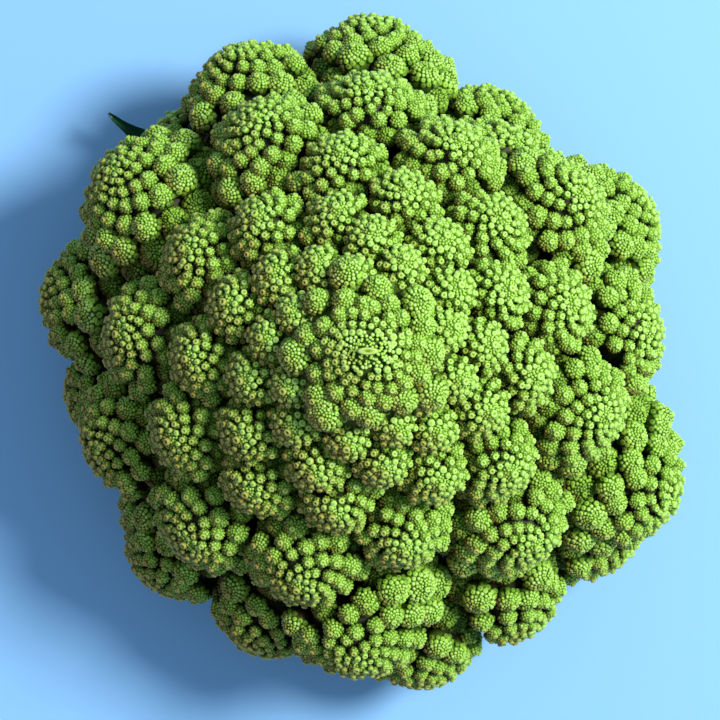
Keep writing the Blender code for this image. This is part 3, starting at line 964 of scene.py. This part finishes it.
def leaf_parts():
    """A narrow blade low over the floor that lifts at its end and rolls into a hook."""
    rings = [turned(leaf_ring(share), LEAF_TURN)[::-1] for share in np.linspace(0, 1, LEAF_ROWS)]
    points, faces = loft(rings)
    return [(points, faces, np.full(len(points), 0.5), np.full(len(points), 0.5))]


print(f"leaf: {(LEAF_TIP[0] - LEAF_ROOT[0]) / MM:.0f} mm from stem to tip")

# %% Cut ribs
RIB_ROOT = 20.5 * MM  # from the axis to where a rib leaves the stem
RIB_HALF_WIDTH, RIB_HALF_THICKNESS, RIB_SIDES = 8.2 * MM, 3.1 * MM, 32


def rib_parts(name):
    """The foot of a leaf's midrib: ribbed underneath and cut square."""
    low, high = (np.array(corner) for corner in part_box(name))
    centre = (low + high) / 2
    turn = math.atan2(centre[1], centre[0])
    out = math.hypot(centre[0], centre[1])
    around = np.arange(RIB_SIDES) * math.tau / RIB_SIDES
    ribbed = 1 + 0.035 * np.cos(7 * around) * (np.sin(around) < 0)
    rings = []
    for share in np.concatenate([[0, 0.02], np.linspace(0.1, 0.9, 8), [0.97, 1.0]]):
        along = np.full(RIB_SIDES, RIB_ROOT + 2 * (out - RIB_ROOT) * share)
        narrow = 1 - 0.18 * share - 0.05 * (share > 0.99) - 0.05 * (share < 0.01)
        side = RIB_HALF_WIDTH * narrow * np.cos(around) * ribbed
        up = RIB_HALF_THICKNESS * narrow * np.sin(around) * ribbed + 0.8 * MM * np.cos(around) ** 2
        rings.append(turned(np.column_stack([along, side, centre[2] + up]), turn))
    points, faces = loft(rings)
    on_cut = np.hypot(points[:, 0], points[:, 1]) > 2 * out - RIB_ROOT - 0.4 * MM
    return [(points, faces, np.where(on_cut, 1.0, 0.5), np.full(len(points), 0.4))]


print(f"cut ribs: {2 * RIB_HALF_WIDTH / MM:.1f} mm wide")

# %% [markdown]
# ## Stem and leaf, as materials
#
# The stem and the cut ribs are the same living tissue without the curd's buds: pale green outside, and
# cream where they were cut. The leaf is a bluer, darker green under a bloom of wax. A thin rough
# coat stands for the moisture or the wax, and a fine noise in the bump stands for the fibres, which are
# too slight to change the outline. Only the colours and the sheen differ, so one function makes both.

# %% Flesh and leaf, as materials
FIBRES_PER_METRE = 900.0  # one every 1.1 mm
FIBRE_DEPTH = 0.2 * MM


def tissue_material(name, stops, roughness, sheen):
    """A tissue whose colour follows the first number stored with each point."""
    material, output = new_material(name)
    tree = material.node_tree
    tone_and_painted_shade = add_node(tree, "ShaderNodeAttribute", {"attribute_name": "tone_and_painted_shade"})
    parts = add_node(tree, "ShaderNodeSeparateXYZ", links={0: (tone_and_painted_shade, "Vector")})
    colour = add_node(tree, "ShaderNodeValToRGB", links={0: (parts, "X")})
    set_ramp(colour, stops)
    place = add_node(tree, "ShaderNodeTexCoord")
    spacing = {"Scale": FIBRES_PER_METRE, "Detail": 3.0}
    fibres = add_node(tree, "ShaderNodeTexNoise", spacing, {"Vector": (place, "Object")})
    depth = {"Strength": 0.25, "Distance": FIBRE_DEPTH}
    bump = add_node(tree, "ShaderNodeBump", depth, {"Height": (fibres, "Fac")})
    finish = {"Roughness": roughness, "IOR": 1.42, "Metallic": 0.0}
    finish |= {"Coat Weight": sheen, "Coat Roughness": 0.4}
    skin = {"Base Color": (colour, 0), "Normal": (bump, 0)}
    shader = add_node(tree, "ShaderNodeBsdfPrincipled", finish, skin)
    tree.links.new(shader.outputs[0], output.inputs[0])
    return material


FLESH_COLOURS = [(0.0, "#5E7A34"), (0.5, "#A9C27E"), (0.8, "#C9D9A6"), (1.0, "#E6E6C8")]
LEAF_COLOURS = [(0.0, "#0D3A2C"), (0.5, "#1F5A44"), (1.0, "#5E8F6A")]
flesh = tissue_material("stem_flesh", FLESH_COLOURS, 0.5, 0.1)  # moist cut flesh: a weak, soft sheen
wax_leaf = tissue_material("waxy_leaf", LEAF_COLOURS, 0.45, 0.2)  # waxed leaf: a little smoother
print("materials:", flesh.name, "and", wax_leaf.name)

# %% Make the stem, the leaf and the ribs
stem = make_piece("stem", stem_parts(), flesh)
leaf = make_piece("curled_leaf", leaf_parts(), wax_leaf)
made = [(stem, "stalk", "stem"), (leaf, "leaf", "leaf")]
for number in (1, 2):
    name = f"leaf_stub_{number}"
    made.append((make_piece(f"cut_rib_{number}", rib_parts(name), flesh), name, "cut_rib"))
for piece, node, slot in made:
    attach(piece, BODY)
    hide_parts(node)
    print(piece.name, "of", len(piece.data.polygons), "triangles")

# %% [markdown]
# ## Floor, light and camera
#
# The head stands on a plain sheet of pale blue paper. One soft lamp hangs high to the right, like a
# window, and a dim sky fills the shadows. The camera looks straight down from 0.8 m with a long lens, so
# that even the rim is seen from nearly straight above. The standard view transform shows the colours
# without a film curve.

# %% Floor
bpy.ops.mesh.primitive_plane_add(size=3, location=(0, 0, 0))
floor = bpy.context.object
floor.name = "floor"
paper, paper_output = new_material("pale_paper")
# Uncoated paper: rough, with hardly any highlight.
PAPER_FINISH = {"Base Color": linear("#7CB2EA"), "Roughness": 0.95, "Specular IOR Level": 0.2}
paper_shader = add_node(paper.node_tree, "ShaderNodeBsdfPrincipled", PAPER_FINISH)
paper.node_tree.links.new(paper_shader.outputs[0], paper_output.inputs[0])
floor.data.materials.append(paper)
print("floor:", floor.name, "in", paper.name)

# %% Light
def add_area(name, place, target, size, power, colour):
    """Adds a round lamp that faces the target, with its size in metres and its power in watts."""
    lamp = bpy.data.lights.new(name, "AREA")
    lamp.shape, lamp.size, lamp.energy, lamp.color = "DISK", size, power, linear(colour)[:3]
    holder = bpy.data.objects.new(name, lamp)
    holder.location = place
    holder.rotation_euler = (Vector(target) - Vector(place)).to_track_quat("-Z", "Y").to_euler()
    bpy.context.scene.collection.objects.link(holder)


WINDOW_PLACE, HEAD_MIDDLE = (0.76, 0.26, 1.02), (0, 0, 0.05)
add_area("window", WINDOW_PLACE, HEAD_MIDDLE, 0.40, 29, "#FFF4E4")
world = bpy.data.worlds.new("studio")
bpy.context.scene.world = world
world.use_nodes = True
sky = world.node_tree.nodes["Background"]
sky.inputs["Color"].default_value = linear("#DCEEFC")
sky.inputs["Strength"].default_value = 0.54

# %% Camera
camera_data = bpy.data.cameras.new("camera")
camera_data.lens = 153
camera_data.sensor_width = 36
camera_data.clip_start = 0.01
camera = bpy.data.objects.new("camera", camera_data)
camera.location = (-0.00175, -0.0020, 0.80)
bpy.context.scene.collection.objects.link(camera)
bpy.context.scene.camera = camera
bpy.context.scene.view_settings.view_transform = "Standard"
print("camera:", camera_data.lens, "mm lens at", round(camera.location.z, 2), "m")
